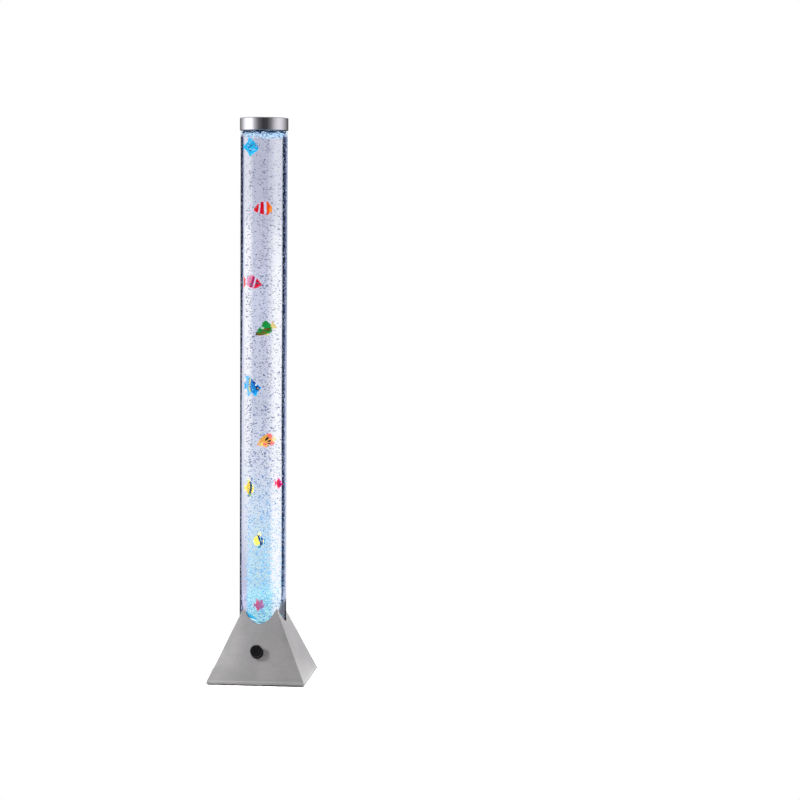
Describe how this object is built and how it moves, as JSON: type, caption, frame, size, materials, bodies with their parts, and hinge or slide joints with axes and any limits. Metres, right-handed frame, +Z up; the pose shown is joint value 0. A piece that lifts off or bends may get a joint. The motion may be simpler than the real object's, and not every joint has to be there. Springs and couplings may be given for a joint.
{
  "type": "bubble tube floor lamp",
  "caption": "Floor lamp: clear water tube with rising bubbles and decorative fish, chrome cap, lit from a sheet-steel pyramid base with a rotary pump control.",
  "frame": {"origin": "on the floor at the middle of the base", "axes": "+Z up along the tube, -Y towards the side with the knob, +X to the right seen from the front"},
  "size_m": [0.212, 0.212, 1.2],
  "materials": {
    "brushed_steel": "satin",
    "plate_steel": "matte",
    "zinc_screws": "satin",
    "black_rubber": "matte",
    "grey_rubber": "matte",
    "white_abs": "satin",
    "clear_acrylic": "gloss",
    "white_nylon": "satin",
    "porous_stone": "matte",
    "chromed_cap": "polished",
    "black_knob": "satin",
    "nickel_shaft": "satin",
    "control_case": "satin",
    "pump_case": "satin",
    "core_steel": "satin",
    "copper_winding": "satin",
    "magnet": "matte",
    "clear_hose": "satin",
    "circuit_board": "satin",
    "lamp_case": "gloss",
    "board_parts": "satin",
    "lead_sleeve": "satin",
    "fish_cyan": "satin",
    "fish_red": "satin",
    "fish_pink_red": "satin",
    "fish_green": "satin",
    "fish_blue": "satin",
    "fish_orange": "satin",
    "fish_yellow": "satin",
    "fish_magenta": "satin",
    "fish_pink": "satin"
  },
  "bodies": {
    "root": {"base_shell": "brushed_steel", "bottom_plate": "plate_steel", "rubber_feet": "black_rubber", "plate_screws": "zinc_screws", "tube_socket": "white_abs", "socket_screws": "zinc_screws", "tube_gasket": "grey_rubber", "clear_tube": "clear_acrylic", "tube_end_disc": "clear_acrylic", "air_nozzle": "white_nylon", "nozzle_seal": "black_rubber", "nozzle_nut": "white_nylon", "air_stone": "porous_stone", "control_body": "control_case", "control_washer": "nickel_shaft", "control_nut": "nickel_shaft", "cord_grommet": "black_rubber", "pump_lower_housing": "pump_case", "pump_upper_housing": "pump_case", "pump_screws": "zinc_screws", "pump_feet": "black_rubber", "pump_core": "core_steel", "pump_coil": "copper_winding", "pump_pivot_pin": "nickel_shaft", "pump_bellows": "black_rubber", "pump_valve_block": "white_nylon", "outlet_hose": "clear_hose", "check_valve": "white_nylon", "check_valve_flap": "grey_rubber", "riser_hose": "clear_hose", "light_board": "circuit_board", "colour_lamps": "lamp_case", "light_board_screws": "zinc_screws", "control_board": "circuit_board", "board_standoffs": "zinc_screws", "board_screws": "zinc_screws", "board_components": "board_parts", "transformer_core": "core_steel", "transformer_coil": "copper_winding", "transformer_strap": "zinc_screws", "transformer_screws": "zinc_screws", "mains_terminal": "white_nylon", "inner_leads": "lead_sleeve"},
    "cap": {"cap_shell": "chromed_cap", "cap_plug": "white_abs", "cap_seal": "grey_rubber"},
    "knob": {"knob": "black_knob", "control_shaft": "nickel_shaft"},
    "pump_arm": {"pump_arm": "white_nylon", "pump_magnet": "magnet"},
    "fish_cyan": {"fish_cyan": "fish_cyan"},
    "fish_red_stripes": {"fish_red_stripes": "fish_red"},
    "fish_pink_stripes": {"fish_pink_stripes": "fish_pink_red"},
    "fish_green": {"fish_green": "fish_green"},
    "fish_blue": {"fish_blue": "fish_blue"},
    "fish_orange": {"fish_orange": "fish_orange"},
    "fish_yellow_upper": {"fish_yellow_upper": "fish_yellow"},
    "fish_magenta": {"fish_magenta": "fish_magenta"},
    "fish_yellow_lower": {"fish_yellow_lower": "fish_yellow"},
    "fish_pink": {"fish_pink": "fish_pink"}
  },
  "joints": [
    {"name": "cap_lift", "type": "slide", "parent": "root", "child": "cap", "axis": [0, 0, 1], "range_m": [0, 0.06]},
    {"name": "knob_turn", "type": "hinge", "parent": "root", "child": "knob", "pos_m": [0, -0.07697, 0.066], "axis": [0, -0.9082, 0.4186], "range_deg": [-135, 135]},
    {"name": "pump_arm_swing", "type": "hinge", "parent": "root", "child": "pump_arm", "pos_m": [-0.018, 0.05461, 0.029], "axis": [0, 0, 1], "range_deg": [-0.8, 0.8]},
    {"name": "fish_cyan_swim", "type": "slide", "parent": "root", "child": "fish_cyan", "axis": [0, 0, 1], "range_m": [-1.0062, 0.0033]},
    {"name": "fish_red_stripes_swim", "type": "slide", "parent": "root", "child": "fish_red_stripes", "axis": [0, 0, 1], "range_m": [-0.8833, 0.1412]},
    {"name": "fish_pink_stripes_swim", "type": "slide", "parent": "root", "child": "fish_pink_stripes", "axis": [0, 0, 1], "range_m": [-0.7258, 0.2987]},
    {"name": "fish_green_swim", "type": "slide", "parent": "root", "child": "fish_green", "axis": [0, 0, 1], "range_m": [-0.6267, 0.3938]},
    {"name": "fish_blue_swim", "type": "slide", "parent": "root", "child": "fish_blue", "axis": [0, 0, 1], "range_m": [-0.4955, 0.514]},
    {"name": "fish_orange_swim", "type": "slide", "parent": "root", "child": "fish_orange", "axis": [0, 0, 1], "range_m": [-0.388, 0.6345]},
    {"name": "fish_yellow_upper_swim", "type": "slide", "parent": "root", "child": "fish_yellow_upper", "axis": [0, 0, 1], "range_m": [-0.2812, 0.7293]},
    {"name": "fish_magenta_swim", "type": "slide", "parent": "root", "child": "fish_magenta", "axis": [0, 0, 1], "range_m": [-0.2957, 0.7268]},
    {"name": "fish_yellow_lower_swim", "type": "slide", "parent": "root", "child": "fish_yellow_lower", "axis": [0, 0, 1], "range_m": [-0.1635, 0.849]},
    {"name": "fish_pink_swim", "type": "slide", "parent": "root", "child": "fish_pink", "axis": [0, 0, 1], "range_m": [-0.0354, 0.9871]}
  ]
}
